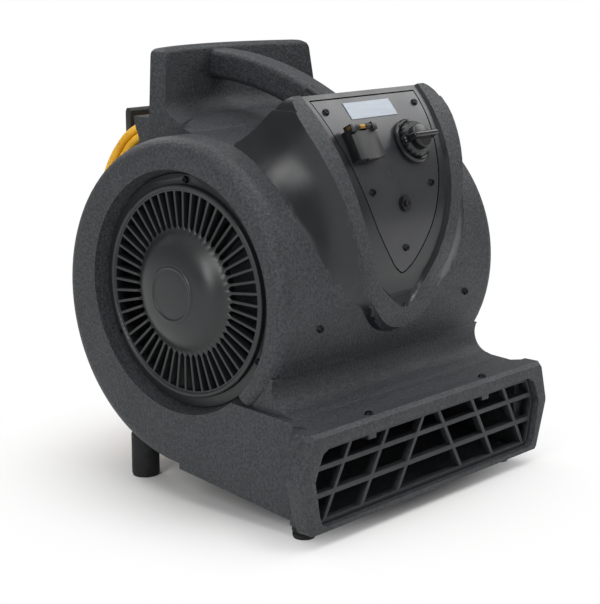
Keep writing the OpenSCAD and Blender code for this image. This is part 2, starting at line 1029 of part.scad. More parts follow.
module bearing() {
    rotate_extrude($fn = 60)
        difference() {
            translate([shaft_r + 0.03, 0])
                square([16 - shaft_r - 0.03, 8.8]);
            translate([shaft_r + 3, -1])
                square([3.4, 1.8]);
            translate([shaft_r + 3, 8])
                square([3.4, 1.8]);
        }
}

module motor_bearings() {
    color("#b4b7bb") {
        translate([15.1, axis_y, axis_h])
            rotate([0, 90, 0])
                bearing();
        translate([128.1, axis_y, axis_h])
            rotate([0, 90, 0])
                bearing();
    }
}

// flat steel spider that holds the motor on the right inlet seat
module motor_bracket() {
    color("#55585c")
        translate([seat_x - wall - 4, axis_y, axis_h])
            rotate([0, 90, 0])
                rotate([0, 0, 45])
                    difference() {
                        union() {
                            cylinder(r = 62, h = 4, $fn = 72);
                            for (a = [0 : 90 : 359])
                                rotate([0, 0, a])
                                    translate([0, -11, 0])
                                        cube([116, 22, 4]);
                        }
                        translate([0, 0, -1])
                            cylinder(r = 40, h = 6, $fn = 60);
                        for (a = [0 : 90 : 359])
                            rotate([0, 0, a]) {
                                translate([52, 0, -1])
                                    cylinder(r = 2.6, h = 8, $fn = 24);
                                for (s = [-7, 7])
                                    translate([110.5, s, -1])
                                        cylinder(r = 1.5, h = 8, $fn = 20);
                            }
                    }
}

module bracket_spacers() {
    color("#9a9da1")
        translate([135, axis_y, axis_h])
            rotate([0, 90, 0])
                for (a = [45 : 90 : 359])
                    rotate([0, 0, a])
                        translate([52, 0, 0])
                            difference() {
                                cylinder(r = 5.5, h = seat_x - wall - 4 - 135, $fn = 30);
                                translate([0, 0, -1])
                                    cylinder(r = 2.6, h = 20, $fn = 24);
                            }
}

module motor_bolts() {
    color("#9a9da1")
        translate([118, axis_y, axis_h])
            rotate([0, 90, 0])
                for (a = [45 : 90 : 359])
                    rotate([0, 0, a])
                        translate([52, 0, 0]) {
                            translate([0, 0, 10])
                                cylinder(r = 2.5, h = seat_x - wall - 128, $fn = 24);
                            translate([0, 0, seat_x - wall - 118])
                                cylinder(r = 4.6, h = 3, $fn = 6);
                        }
}

module run_capacitor() {
    color("#2f3236") {
        on_panel(-9, 368)
            translate([0, -20, -20])
                rotate([-90, 0, 0])
                    union() {
                        cylinder(r = 10, h = 36, $fn = 48);
                        for (x = [-4, 4])
                            translate([x - 0.5, -2.5, 36])
                                cube([1, 5, 5]);
                    }
        // saddle against the back of the wiring space
        translate([-9, 0, 0])
            across(4)
                polygon([[-109.58, 337.18], [-98.6, 351.46], [-109.9, 356.8], [-116.7, 344.6]]);
    }
}

module rear_foot(side) {
    translate([side * 135, axis_y + 92, 0])
        difference() {
            union() {
                cylinder(r1 = 14, r2 = 15, h = 3, $fn = 60);
                translate([0, 0, 3])
                    cylinder(r = 15, h = 43, $fn = 60);
                translate([0, 0, 46])
                    cylinder(r1 = 15, r2 = 14, h = 2, $fn = 60);
            }
            translate([0, 0, 30])
                cylinder(r = 12, h = 30, $fn = 60);
            translate([0, 0, -1])
                cylinder(r = 5.5, h = 25, $fn = 36);
            translate([0, 0, 20])
                cylinder(r = 2.3, h = 20, $fn = 24);
        }
}

module rear_foot_left() {
    color("#17181a")
        rear_foot(-1);
}

module rear_foot_right() {
    color("#17181a")
        rear_foot(1);
}

module front_foot(side) {
    translate([side * 162, axis_y - 164, 0])
        difference() {
            union() {
                cylinder(r1 = 10.5, r2 = 11.5, h = 2, $fn = 48);
                translate([0, 0, 2])
                    cylinder(r = 11.5, h = 3, $fn = 48);
                translate([0, 0, 5])
                    cylinder(r = 10, h = 2.5, $fn = 48);
                translate([0, 0, 7.5])
                    cylinder(r = 12, h = bezel_low - 7.5, $fn = 48);
            }
            translate([0, 0, -1])
                cylinder(r = 5, h = 7, $fn = 36);
            translate([0, 0, 4])
                cylinder(r = 2.3, h = 20, $fn = 24);
        }
}

module front_foot_left() {
    color("#17181a")
        front_foot(-1);
}

module front_foot_right() {
    color("#17181a")
        front_foot(1);
}

module foot_screws() {
    color("#8d9094") {
        for (s = [-1, 1]) {
            translate([s * 162, axis_y - 164, 6])
                mirror([0, 0, 1])
                    translate([0, 0, -15])
                        screw(2, 4, 2.2, 15);
            translate([s * 135, axis_y + 92, 24])
                mirror([0, 0, 1])
                    translate([0, 0, -26])
                        screw(2, 4.4, 2.6, 26);
        }
    }
}

// upper hook: a foot on the rear block, an arm and an upright keeper plate
module cord_hook_upper() {
    color("#2b2d30")
        difference() {
            union() {
                across(40)
                    polygon([[132, 322], [174, 322], [180, 328], [180, 350], [172, 350], [172, 339.4],
                             [169, 336.4], [137, 336.4], [137, 346], [132, 346]]);
                across(74)
                    polygon([[172, 345], [180, 345], [180, 383], [178, 387], [174, 387], [172, 384]]);
            }
            for (x = hook_screw_at)
                translate([x, axis_y + 120, 341])
                    rotate([-90, 0, 0])
                        cylinder(r = 2.2, h = 30, $fn = 24);
        }
}

module cord_hook_lower() {
    color("#2b2d30")
        difference() {
            union() {
                across(40)
                    polygon([[160, 124], [175, 124], [178, 121], [178, 90], [184, 90], [184, 129],
                             [180, 133], [165, 133], [165, 143.4], [160, 143.4]]);
                across(70)
                    polygon([[178, 64], [180, 60], [183, 60], [184, 63], [184, 99], [178, 99]]);
            }
            for (x = hook_screw_at)
                translate([x, axis_y + 150, 139])
                    rotate([-90, 0, 0])
                        cylinder(r = 2.2, h = 30, $fn = 24);
        }
}

module hook_screws() {
    color("#8d9094")
        for (x = hook_screw_at) {
            translate([x, axis_y + 119, 341])
                rotate([-90, 0, 0])
                    screw(2, 4.2, 2.4, 18.05);
            translate([x, axis_y + 147, 139])
                rotate([-90, 0, 0])
                    screw(2, 4.2, 2.4, 18.05);
        }
}

// tapered strain relief on the back of the tower
module cord_gland() {
    color("#1a1b1d")
        translate([48, axis_y + 127, 408])
            rotate([-90, 0, 0])
                difference() {
                    union() {
                        translate([0, 0, -16])
                            cylinder(r = 8, h = 17, $fn = 48);
                        cylinder(r = 14, h = 4, $fn = 48);
                        translate([0, 0, 4])
                            cylinder(r = 12.4, h = 9, $fn = 8);
                        translate([0, 0, 13])
                            cylinder(r1 = 10, r2 = 6.6, h = 28, $fn = 48);
                        for (i = [0 : 4])
                            translate([0, 0, 16 + 5 * i])
                                cylinder(r = 9.9 - 0.6 * i, h = 2.6, $fn = 48);
                    }
                    translate([0, 0, -20])
                        cylinder(r = cord_d / 2 + 0.05, h = 80, $fn = 36);
                }
}

// the wound lead
hank_mid = 177;
hank_r = 194;
hank_layer = 11.4;
hank_half_x = 62;
hank_half_s = 125;
hank_corner = 32;

function around(x, s, r) =
    let (a = hank_mid - s / 200 * 180 / PI)
    [x, axis_y - r * cos(a), axis_h + r * sin(a)];

// one place on a turn: j counts 24 places round the turn, e widens the turn
function turn_at(j, e) =
    let (x = hank_half_x + e, s = hank_half_s + e, c = hank_corner, a = s - c, b = x - c, q = 90 / 3)
    j == 0 ? [x, -0.6 * a] :
    j <= 4 ? [b + c * cos((j - 1) * q), -a - c * sin((j - 1) * q)] :
    j <= 8 ? [-b - c * sin((j - 5) * q), -a - c * cos((j - 5) * q)] :
    j <= 12 ? [-x, (0.4 * (j - 9) - 0.6) * a] :
    j <= 16 ? [-b - c * cos((j - 13) * q), a + c * sin((j - 13) * q)] :
    j <= 20 ? [b + c * sin((j - 17) * q), a + c * cos((j - 17) * q)] :
    [x, (0.6 - 0.4 * (j - 21)) * a];

function hank_path() = [for (i = [0 : 24 * hank_turns])
    let (k = i / 24, h = hank_turns / 2,
         e = hank_pitch * min(k, hank_turns - k),
         climb = min(max((k - h + 0.25) / 0.5, 0), 1),
         p = turn_at(i % 24, e))
    around(p[0], p[1], hank_r + hank_layer * climb)];

function bezier(p, n) = [for (i = [0 : n]) let (t = i / n, s = 1 - t)
    s * s * s * p[0] + 3 * s * s * t * p[1] + 3 * s * t * t * p[2] + t * t * t * p[3]];

function tangent(p, i) = unit(p[min(i + 1, len(p) - 1)] - p[max(i - 1, 0)]);
function across_of(n, t) = unit(n - (n * t) * t);
function normals(p, n0) = [for (i = 0, n = across_of(n0, tangent(p, 0)); i < len(p);
    i = i + 1, n = i < len(p) ? across_of(n, tangent(p, i)) : n) n];

module tube(p, r, sides, n0) {
    nn = normals(p, n0);
    last = len(p) - 1;
    points = [for (i = [0 : last], k = [0 : sides - 1])
        let (t = tangent(p, i), a = 360 * k / sides)
        p[i] + r * (cos(a) * nn[i] + sin(a) * cross(t, nn[i]))];
    walls = [for (i = [0 : last - 1], k = [0 : sides - 1])
        let (a = i * sides + k, b = i * sides + (k + 1) % sides)
        each [[a, b + sides, b], [a, a + sides, b + sides]]];
    caps = [[for (k = [0 : sides - 1]) k], [for (k = [sides - 1 : -1 : 0]) last * sides + k]];
    polyhedron(points, concat(walls, caps), convexity = 12);
}

hank = hank_path();
hank_in = tangent(hank, 0);
hank_out = tangent(hank, len(hank) - 1);
gland_tip = [48, axis_y + 168.3, 408];
lead_low = gland_tip + [1, 50, -46];
lead_bend = bezier([gland_tip + [0, 4, 0], gland_tip + [0, 29.4, 0], lead_low + [0, 0, 25.4], lead_low], 8);
lead_in = around(50, 38, 192);
lead_drop = bezier([lead_low, lead_low - [0, 0, 42],
                    lead_in + 44 * unit(around(50, 39, 192) - around(50, 37, 192)), lead_in], 8);
lead_join = [for (i = [1 : 7]) let (t = i / 8, w = t * t * (3 - 2 * t))
    around(50 + (hank_half_x - 50) * w, 38 - (38 + 0.6 * (hank_half_s - hank_corner)) * t,
           192 + (hank_r - 192) * w)];
lead = concat([gland_tip], lead_bend, [for (i = [1 : 8]) lead_drop[i]], lead_join,
              [hank[0] - 0.3 * hank_in]);
plug_top = [56, axis_y + 206, 98];
tail_start = hank[len(hank) - 1];
tail_drop = bezier([tail_start + 6 * hank_out, tail_start + 26 * hank_out, plug_top + [0, 0, 36],
                    plug_top + [0, 0, 6]], 8);
tail = concat([tail_start + 0.3 * hank_out], tail_drop, [plug_top + [0, 0, 0.3]]);

// least space between the hank and itself, apart from its nearest neighbours along the lead
function hank_gap() = min([for (i = [0 : len(hank) - 1], j = [i + 9 : 1 : len(hank) - 1])
    norm(hank[i] - hank[j])]) - cord_d;

module cord_lead() {
    color("#f2b61c")
        tube(lead, cord_d / 2, 8, [1, 0, 0]);
}

module cord_hank() {
    color("#f2b61c")
        tube(hank, cord_d / 2, 6, [1, 0, 0]);
}

module cord_tail() {
    color("#f2b61c")
        tube(tail, cord_d / 2, 8, [1, 0, 0]);
}

module plug_body() {
    color("#e3a817")
        translate([plug_top[0], plug_top[1], plug_top[2]])
            mirror([0, 0, 1])
                difference() {
                    union() {
                        cylinder(r1 = 6.6, r2 = 9.5, h = 18, $fn = 48);
                        translate([0, 0, 18])
                            cylinder(r1 = 13, r2 = 16.5, h = 8, $fn = 60);
                        translate([0, 0, 26])
                            cylinder(r = 16.5, h = 12, $fn = 60);
                        for (i = [0 : 2])
                            translate([0, 0, 3 + 5 * i])
                                cylinder(r = 8.2 + i * 0.9, h = 2.4, $fn = 48);
                    }
                    for (x = [-6.4, 6.4])
                        translate([x - 0.8, -3.2, 30])
                            cube([1.6, 6.4, 20]);
                    translate([0, 8.5, 30])
                        cylinder(r = 2.4, h = 20, $fn = 30);
                }
}

module plug_pins() {
    color("#c9a24b")
        translate([plug_top[0], plug_top[1], plug_top[2]])
            mirror([0, 0, 1]) {
                for (x = [-6.4, 6.4])
                    translate([x - 0.8, -3.2, 30])
                        cube([1.6, 6.4, 24]);
                translate([0, 8.5, 30])
                    cylinder(r = 2.4, h = 26, $fn = 30);
            }
}

echo(hank_gap = hank_gap());

housing();
inlet_grille_left();
inlet_grille_right();
grille_screws();
outlet_grille();
outlet_screws();
drum_screws();
control_panel();
panel_screws();
label_plate();
dial_ring();
speed_knob();
speed_switch();
switch_nut();
breaker_body();
breaker_nut();
reset_button();
socket_body();
socket_flap();
flap_pin();
flap_spring();
impeller();
hub_set_screw();
motor_shaft();
motor_rotor();
motor_stator();
motor_shell();
motor_bell_inner();
motor_bell_outer();
motor_bearings();
motor_bracket();
bracket_spacers();
motor_bolts();
run_capacitor();
rear_foot_left();
rear_foot_right();
front_foot_left();
front_foot_right();
foot_screws();
cord_hook_upper();
cord_hook_lower();
hook_screws();
cord_gland();
cord_lead();
cord_hank();
cord_tail();
plug_body();
plug_pins();
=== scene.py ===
import math

import bpy
from mathutils import Matrix, Vector


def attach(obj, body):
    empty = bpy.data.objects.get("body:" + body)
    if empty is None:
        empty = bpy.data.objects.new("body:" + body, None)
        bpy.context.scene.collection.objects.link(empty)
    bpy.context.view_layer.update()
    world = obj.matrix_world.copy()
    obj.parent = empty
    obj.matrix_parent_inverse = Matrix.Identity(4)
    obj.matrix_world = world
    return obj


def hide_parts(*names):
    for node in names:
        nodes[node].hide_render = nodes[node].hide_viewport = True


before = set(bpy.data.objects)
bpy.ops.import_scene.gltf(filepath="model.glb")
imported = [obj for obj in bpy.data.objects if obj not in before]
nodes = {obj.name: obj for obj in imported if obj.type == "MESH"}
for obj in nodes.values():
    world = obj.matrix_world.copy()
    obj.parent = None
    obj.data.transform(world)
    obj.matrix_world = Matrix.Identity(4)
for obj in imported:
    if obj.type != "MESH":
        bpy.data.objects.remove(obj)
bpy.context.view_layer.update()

# The fan axis runs along X at this depth and height, in metres.
AXIS_Y, AXIS_Z = 0.008, 0.220


# Camera: the photograph's own standpoint, in front of the left inlet.
def make_camera():
    az, el = math.radians(-47.874), math.radians(12.583)
    standpoint = (-1.2733, -1.1556, 0.5678)
    back = Vector((math.sin(az) * math.cos(el), -math.cos(az) * math.cos(el), math.sin(el)))
    right = Vector((math.cos(az), math.sin(az), 0.0))
    up = back.cross(right)
    data = bpy.data.cameras.new("camera")
    data.sensor_width = 36.0
    data.lens = 96.8
    data.clip_end = 50.0
    camera = bpy.data.objects.new("camera", data)
    turn = Matrix((right, up, back)).transposed().to_4x4()
    camera.matrix_world = Matrix.Translation(standpoint) @ turn
    bpy.context.collection.objects.link(camera)
    bpy.context.scene.camera = camera


make_camera()


# Colours and nodes
def linear(hex_colour):
    values = [int(hex_colour[i:i + 2], 16) / 255 for i in (1, 3, 5)]
    values = [v / 12.92 if v <= 0.04045 else ((v + 0.055) / 1.055) ** 2.4 for v in values]
    return (*values, 1.0)


def per_metre(millimetres):
    return 1000.0 / millimetres


def add_node(tree, kind, links=None, values=None, **settings):
    node = tree.nodes.new(kind)
    for name, value in settings.items():
        setattr(node, name, value)
    for name, value in (values or {}).items():
        node.inputs[name].default_value = value
    for name, socket in (links or {}).items():
        tree.links.new(socket, node.inputs[name])
    return node


def new_material(name, values):
    material = bpy.data.materials.new(name)
    material.use_nodes = True
    tree = material.node_tree
    shader = tree.nodes["Principled BSDF"]
    for socket, value in values.items():
        shader.inputs[socket].default_value = value
    place = add_node(tree, "ShaderNodeTexCoord").outputs["Object"]
    return material, tree, shader, place


# Charcoal polypropylene with a spark-eroded mould grain. The lighter specks that rise with the
# grain are painted glints, the small points of light that the pebbles catch.
# The real grain is about 0.6 mm and is drawn at 1.7 mm so that it shows in the render.
def make_grained_polypropylene(name, dark, light, rough, depth, grain=1.7):
    material, tree, shader, place = new_material(name, {"IOR": 1.49})
    cells = add_node(tree, "ShaderNodeTexVoronoi", {"Vector": place}, {"Scale": per_metre(grain)},
                     feature="SMOOTH_F1")
    cells.inputs["Smoothness"].default_value = 0.6
    grain_speck_and_glint = add_node(tree, "ShaderNodeTexNoise", {"Vector": place},
                     {"Scale": per_metre(grain * 1.6), "Detail": 3.0, "Roughness": 0.65})
    cloud = add_node(tree, "ShaderNodeTexNoise", {"Vector": place},
                     {"Scale": per_metre(70), "Detail": 2.0})
    # The same speck noise that raises the grain paints its raised specks lighter: painted glints.
    tint = add_node(tree, "ShaderNodeValToRGB", {"Fac": grain_speck_and_glint.outputs["Fac"]})
    tint.color_ramp.elements[0].position = 0.38
    tint.color_ramp.elements[0].color = linear(dark)
    tint.color_ramp.elements[1].position = 0.72
    tint.color_ramp.elements[1].color = linear(light)
    sheen = add_node(tree, "ShaderNodeMapRange", {"Value": cloud.outputs["Fac"]},
                     {"From Min": 0.3, "From Max": 0.7,
                      "To Min": rough - 0.05, "To Max": rough + 0.05})
    height = add_node(tree, "ShaderNodeMath",
                      {0: cells.outputs["Distance"], 1: grain_speck_and_glint.outputs["Fac"]}, operation="ADD")
    bump = add_node(tree, "ShaderNodeBump", {"Height": height.outputs["Value"]},
                    {"Strength": depth, "Distance": 0.0006})
    tree.links.new(tint.outputs["Color"], shader.inputs["Base Color"])
    tree.links.new(sheen.outputs["Result"], shader.inputs["Roughness"])
    tree.links.new(bump.outputs["Normal"], shader.inputs["Normal"])
    return material


# Moulded nylon or ABS: nearly smooth, with a faint orange-peel ripple from the mould steel.
def make_smooth_plastic(name, colour, rough, ripple=4.0, depth=0.08, vary=0.06):
    material, tree, shader, place = new_material(name, {"IOR": 1.53, "Base Color": linear(colour)})
    peel = add_node(tree, "ShaderNodeTexNoise", {"Vector": place},
                    {"Scale": per_metre(ripple), "Detail": 2.0, "Roughness": 0.5})
    cloud = add_node(tree, "ShaderNodeTexNoise", {"Vector": place},
                     {"Scale": per_metre(45), "Detail": 3.0})
    gloss = add_node(tree, "ShaderNodeMapRange", {"Value": cloud.outputs["Fac"]},
                     {"From Min": 0.3, "From Max": 0.7,
                      "To Min": rough - vary, "To Max": rough + vary})
    bump = add_node(tree, "ShaderNodeBump", {"Height": peel.outputs["Fac"]},
                    {"Strength": depth, "Distance": 0.0005})
    tree.links.new(gloss.outputs["Result"], shader.inputs["Roughness"])
    tree.links.new(bump.outputs["Normal"], shader.inputs["Normal"])
    return material


# Metal that was rolled, turned or brushed: fine streaks along one axis, broken by handling marks.
def make_streaked_metal(name, colour, rough, stretch=(1.0, 40.0, 40.0), depth=0.06):
    material, tree, shader, place = new_material(name, {"Metallic": 1.0,
                                                        "Base Color": linear(colour)})
    lie = add_node(tree, "ShaderNodeMapping", {"Vector": place}, {"Scale": stretch})
    streak = add_node(tree, "ShaderNodeTexNoise", {"Vector": lie.outputs["Vector"]},
                      {"Scale": per_metre(24), "Detail": 4.0, "Roughness": 0.6})
    gloss = add_node(tree, "ShaderNodeMapRange", {"Value": streak.outputs["Fac"]},
                     {"From Min": 0.25, "From Max": 0.75,
                      "To Min": rough - 0.08, "To Max": rough + 0.1})
    bump = add_node(tree, "ShaderNodeBump", {"Height": streak.outputs["Fac"]},
                    {"Strength": depth, "Distance": 0.0002})
    tree.links.new(gloss.outputs["Result"], shader.inputs["Roughness"])
    tree.links.new(bump.outputs["Normal"], shader.inputs["Normal"])
    return material


# Vulcanised rubber: dull, with a powdery bloom that pales it in patches.
def make_rubber(name, dark, light):
    material, tree, shader, place = new_material(name, {"IOR": 1.52, "Specular IOR Level": 0.35})
    bloom = add_node(tree, "ShaderNodeTexNoise", {"Vector": place},
                     {"Scale": per_metre(9), "Detail": 4.0, "Roughness": 0.6})
    tint = add_node(tree, "ShaderNodeValToRGB", {"Fac": bloom.outputs["Fac"]})
    tint.color_ramp.elements[0].position = 0.4
    tint.color_ramp.elements[0].color = linear(dark)
    tint.color_ramp.elements[1].position = 0.75
    tint.color_ramp.elements[1].color = linear(light)
    gloss = add_node(tree, "ShaderNodeMapRange", {"Value": bloom.outputs["Fac"]},
                     {"To Min": 0.6, "To Max": 0.8})
    bump = add_node(tree, "ShaderNodeBump", {"Height": bloom.outputs["Fac"]},
                    {"Strength": 0.15, "Distance": 0.0004})
    tree.links.new(tint.outputs["Color"], shader.inputs["Base Color"])
    tree.links.new(gloss.outputs["Result"], shader.inputs["Roughness"])
    tree.links.new(bump.outputs["Normal"], shader.inputs["Normal"])
    return material


# Extruded PVC jacket: bright yellow, slightly waxy, with a faint ripple from the die and paler
# scuffs where it has been wound and unwound.
def make_cord_jacket():
    material, tree, shader, place = new_material("yellow_pvc_jacket",
                                                 {"IOR": 1.53, "Subsurface Weight": 0.04})
    scuff = add_node(tree, "ShaderNodeTexNoise", {"Vector": place},
                     {"Scale": per_metre(14), "Detail": 5.0, "Roughness": 0.7})
    tint = add_node(tree, "ShaderNodeValToRGB", {"Fac": scuff.outputs["Fac"]})
    tint.color_ramp.elements[0].position = 0.3
    tint.color_ramp.elements[0].color = linear("#d99a10")
    tint.color_ramp.elements[1].position = 0.62
    tint.color_ramp.elements[1].color = linear("#f6bd1f")
    ripple = add_node(tree, "ShaderNodeTexNoise", {"Vector": place},
                      {"Scale": per_metre(2.2), "Detail": 2.0})
    gloss = add_node(tree, "ShaderNodeMapRange", {"Value": scuff.outputs["Fac"]},
                     {"To Min": 0.36, "To Max": 0.58})
    bump = add_node(tree, "ShaderNodeBump", {"Height": ripple.outputs["Fac"]},
                    {"Strength": 0.12, "Distance": 0.0003})
    tree.links.new(tint.outputs["Color"], shader.inputs["Base Color"])
    tree.links.new(gloss.outputs["Result"], shader.inputs["Roughness"])
    tree.links.new(bump.outputs["Normal"], shader.inputs["Normal"])
    return material


finishes = {
    # The second colour of each grained finish is the painted glint on its raised specks.
    "housing": make_grained_polypropylene("charcoal_grained_polypropylene", "#222427", "#44474b",
                                          0.56, 0.7),
    # Polished flanks: the lower roughness is the polish, and the colour, darker than the housing's
    # own charcoal, is painted shade.
    "flank": make_smooth_plastic("charcoal_polished_polypropylene_with_painted_shade", "#15171b", 0.31,
                                 ripple=9.0, depth=0.03),
    "grille": make_smooth_plastic("black_glass_filled_nylon", "#1d1f21", 0.4,
                                  ripple=2.5, depth=0.12),
    "outlet": make_grained_polypropylene("charcoal_grille_polypropylene", "#202225", "#34373b",
                                         0.52, 0.35),
    "hooks": make_smooth_plastic("satin_black_polypropylene", "#212326", 0.48,
                                 ripple=2.5, depth=0.14),
    "panel": make_smooth_plastic("semi_gloss_black_abs", "#2a2b2f", 0.3, ripple=3.5, depth=0.06),
    "control": make_smooth_plastic("moulded_phenolic_black", "#121315", 0.33,
                                   ripple=3.0, depth=0.06),
    "knob": make_smooth_plastic("glossy_phenolic_black", "#151618", 0.22, ripple=3.0, depth=0.04),
    "flap": make_smooth_plastic("socket_flap_nylon", "#141518", 0.52, ripple=2.0, depth=0.14),
    "label": make_streaked_metal("satin_aluminium_plate", "#a0a6ad", 0.54),
    "steel": make_streaked_metal("zinc_plated_steel", "#b3b6ba", 0.3),
    "shaft": make_streaked_metal("ground_steel", "#b9bcbf", 0.22),
    "screw": make_streaked_metal("black_oxide_steel", "#26272a", 0.42),
    "brass": make_streaked_metal("drawn_brass", "#b9924a", 0.3),
    "wheel": make_smooth_plastic("grey_moulded_polypropylene", "#4b4e52", 0.46,
                                 ripple=3.0, depth=0.1),
    "enamel": make_smooth_plastic("black_stoving_enamel", "#1b1c1f", 0.34, ripple=6.0, depth=0.1),
    "bracket": make_smooth_plastic("grey_powder_coat", "#4a4d51", 0.5, ripple=1.5, depth=0.2),
    "cast": make_streaked_metal("die_cast_aluminium", "#8a8d91", 0.5,
                                stretch=(8.0, 8.0, 8.0), depth=0.25),
    "core": make_streaked_metal("laminated_core_steel", "#74777b", 0.42,
                                stretch=(60.0, 1.0, 1.0), depth=0.2),
    "winding": make_streaked_metal("varnished_copper_winding", "#8f5424", 0.4,
                                   stretch=(40.0, 4.0, 4.0), depth=0.3),
    "rubber": make_rubber("black_rubber", "#121214", "#242528"),
    "jacket": make_cord_jacket(),
    "plug": make_smooth_plastic("yellow_moulded_pvc", "#eda91a", 0.42, ripple=3.0, depth=0.1),
}

node_finish = {
    "housing": "housing", "inlet_grille_left": "grille", "inlet_grille_right": "grille",
    "outlet_grille": "outlet", "cord_hook_upper": "hooks", "cord_hook_lower": "hooks",
    "grille_screws": "screw", "outlet_screws": "screw", "drum_screws": "screw",
    "panel_screws": "screw", "control_panel": "panel", "label_plate": "label", "dial_ring": "knob",
    "speed_knob": "knob", "speed_switch": "control", "switch_nut": "steel",
    "breaker_body": "control", "breaker_nut": "control", "reset_button": "control",
    "socket_body": "control", "socket_flap": "flap", "flap_pin": "brass", "flap_spring": "brass",
    "impeller": "wheel", "hub_set_screw": "steel", "motor_shaft": "shaft", "motor_rotor": "core",
    "motor_stator": "winding", "motor_shell": "enamel", "motor_bell_inner": "cast",
    "motor_bell_outer": "cast", "motor_bearings": "shaft", "motor_bracket": "bracket",
    "bracket_spacers": "steel", "motor_bolts": "steel", "run_capacitor": "enamel",
    "rear_foot_left": "rubber", "rear_foot_right": "rubber", "front_foot_left": "rubber",
    "front_foot_right": "rubber", "foot_screws": "steel", "hook_screws": "steel",
    "cord_gland": "rubber", "cord_lead": "jacket", "cord_hank": "jacket", "cord_tail": "jacket",
    "plug_body": "plug", "plug_pins": "brass",
}


def give_finish(piece, finish):
    piece.data.materials.clear()
    piece.data.materials.append(finishes[finish])


for name, finish in node_finish.items():
    give_finish(nodes[name], finish)


# Small modelling helpers
def only(piece):
    if bpy.context.mode != "OBJECT":
        bpy.ops.object.mode_set(mode="OBJECT")
    bpy.ops.object.select_all(action="DESELECT")
    piece.select_set(True)
    bpy.context.view_layer.objects.active = piece


def apply_modifier(piece, kind, **settings):
    only(piece)
    modifier = piece.modifiers.new(kind.lower(), kind)
    for name, value in settings.items():
        setattr(modifier, name, value)
    bpy.ops.object.modifier_apply(modifier=modifier.name)


def smooth(piece, degrees):
    only(piece)
    bpy.ops.object.shade_smooth_by_angle(angle=math.radians(degrees))


def stand_in_for(piece, body, slot, finish, *replaced):
    give_finish(piece, finish)
    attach(piece, body)
    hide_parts(*replaced)
    return piece


# A copy of a CAD node with its loose triangles merged into whole faces.
def merged_copy(node, name):
    piece = nodes[node].copy()
    piece.data = nodes[node].data.copy()
    piece.name = piece.data.name = name
    for key in list(piece.keys()):
        del piece[key]
    piece.parent = None
    bpy.context.collection.objects.link(piece)
    only(piece)
    bpy.ops.object.mode_set(mode="EDIT")
    bpy.ops.mesh.select_all(action="SELECT")
    bpy.ops.mesh.customdata_custom_splitnormals_clear()
    bpy.ops.mesh.remove_doubles(threshold=0.00001)
    bpy.ops.mesh.dissolve_limited(angle_limit=math.radians(0.4))
    bpy.ops.object.mode_set(mode="OBJECT")
    return piece


# The same with its moulding radii: the sharp edges are rounded.
def moulded_copy(node, name, radius):
    piece = merged_copy(node, name)
    apply_modifier(piece, "BEVEL", width=radius / 1000, segments=2, limit_method="ANGLE",
                   angle_limit=math.radians(30), use_clamp_overlap=True)
    smooth(piece, 35)
    return piece


# Rounds the sharp edges of one region only, chosen by the place of their middles.
def round_edges(piece, radius, region, sharp=25.0, segments=3):
    only(piece)
    bpy.ops.object.mode_set(mode="EDIT")
    bpy.ops.mesh.select_mode(type="EDGE")
    bpy.ops.mesh.select_all(action="DESELECT")
    bpy.ops.mesh.edges_select_sharp(sharpness=math.radians(sharp))
    bpy.ops.object.mode_set(mode="OBJECT")
    mesh = piece.data
    for edge in mesh.edges:
        a, b = (mesh.vertices[i].co for i in edge.vertices)
        edge.select = edge.select and (a - b).length > radius / 1000 and region((a + b) / 2)
    bpy.ops.object.mode_set(mode="EDIT")
    bpy.ops.mesh.bevel(offset=radius / 1000, segments=segments, affect="EDGES", clamp_overlap=True)
    bpy.ops.mesh.select_mode(type="VERT")
    bpy.ops.object.mode_set(mode="OBJECT")


# The mains lead: out of the gland, down inside the turns, eight turns round the two hooks in two
# layers, then down to the plug. The places repeat the CAD route, in millimetres.
LEAD_D, LEAD_LENGTH = 9.5, 7.29
TURNS, PITCH, LAYER = 8, 11.0, 11.4
TURN_R, HALF_X, HALF_S, CORNER = 194.0, 62.0, 125.0, 32.0
STEPS_ROUND = 24
HANK_MIDDLE, HANK_ARC_R = math.radians(177), 200
GLAND_TIP, PLUG_TOP = Vector((48, 176.3, 408)), Vector((56, 214, 98))
INSIDE_X, INSIDE_S, INSIDE_R = 50, 38, 192


# A place behind the drum: x across, s up along the drum from the middle of the turns, r off the
# fan axis.
def on_drum(x, s, r):
    a = HANK_MIDDLE - s / HANK_ARC_R
    return Vector((x, AXIS_Y * 1000 - r * math.cos(a), AXIS_Z * 1000 + r * math.sin(a)))


# The j-th step of one turn that is grown by e: down one side, round the lower end, up the other
# side and round the upper end.
def place_on_turn(j, e):
    x, a, b, c = HALF_X + e, HALF_S + e - CORNER, HALF_X + e - CORNER, CORNER
    corner = math.radians(30)
    if j == 0:
        return x, -0.6 * a
    if j <= 4:
        return b + c * math.cos((j - 1) * corner), -a - c * math.sin((j - 1) * corner)
    if j <= 8:
        return -b - c * math.sin((j - 5) * corner), -a - c * math.cos((j - 5) * corner)
    if j <= 12:
        return -x, (0.4 * (j - 9) - 0.6) * a
    if j <= 16:
        return -b - c * math.cos((j - 13) * corner), a + c * math.sin((j - 13) * corner)
    if j <= 20:
        return b + c * math.sin((j - 17) * corner), a + c * math.cos((j - 17) * corner)
    return x, (0.6 - 0.4 * (j - 21)) * a


def bezier(a, b, c, d, count):
    steps = [i / count for i in range(count + 1)]
    return [a * (1 - t) ** 3 + b * 3 * (1 - t) ** 2 * t + c * 3 * (1 - t) * t * t + d * t ** 3
            for t in steps]


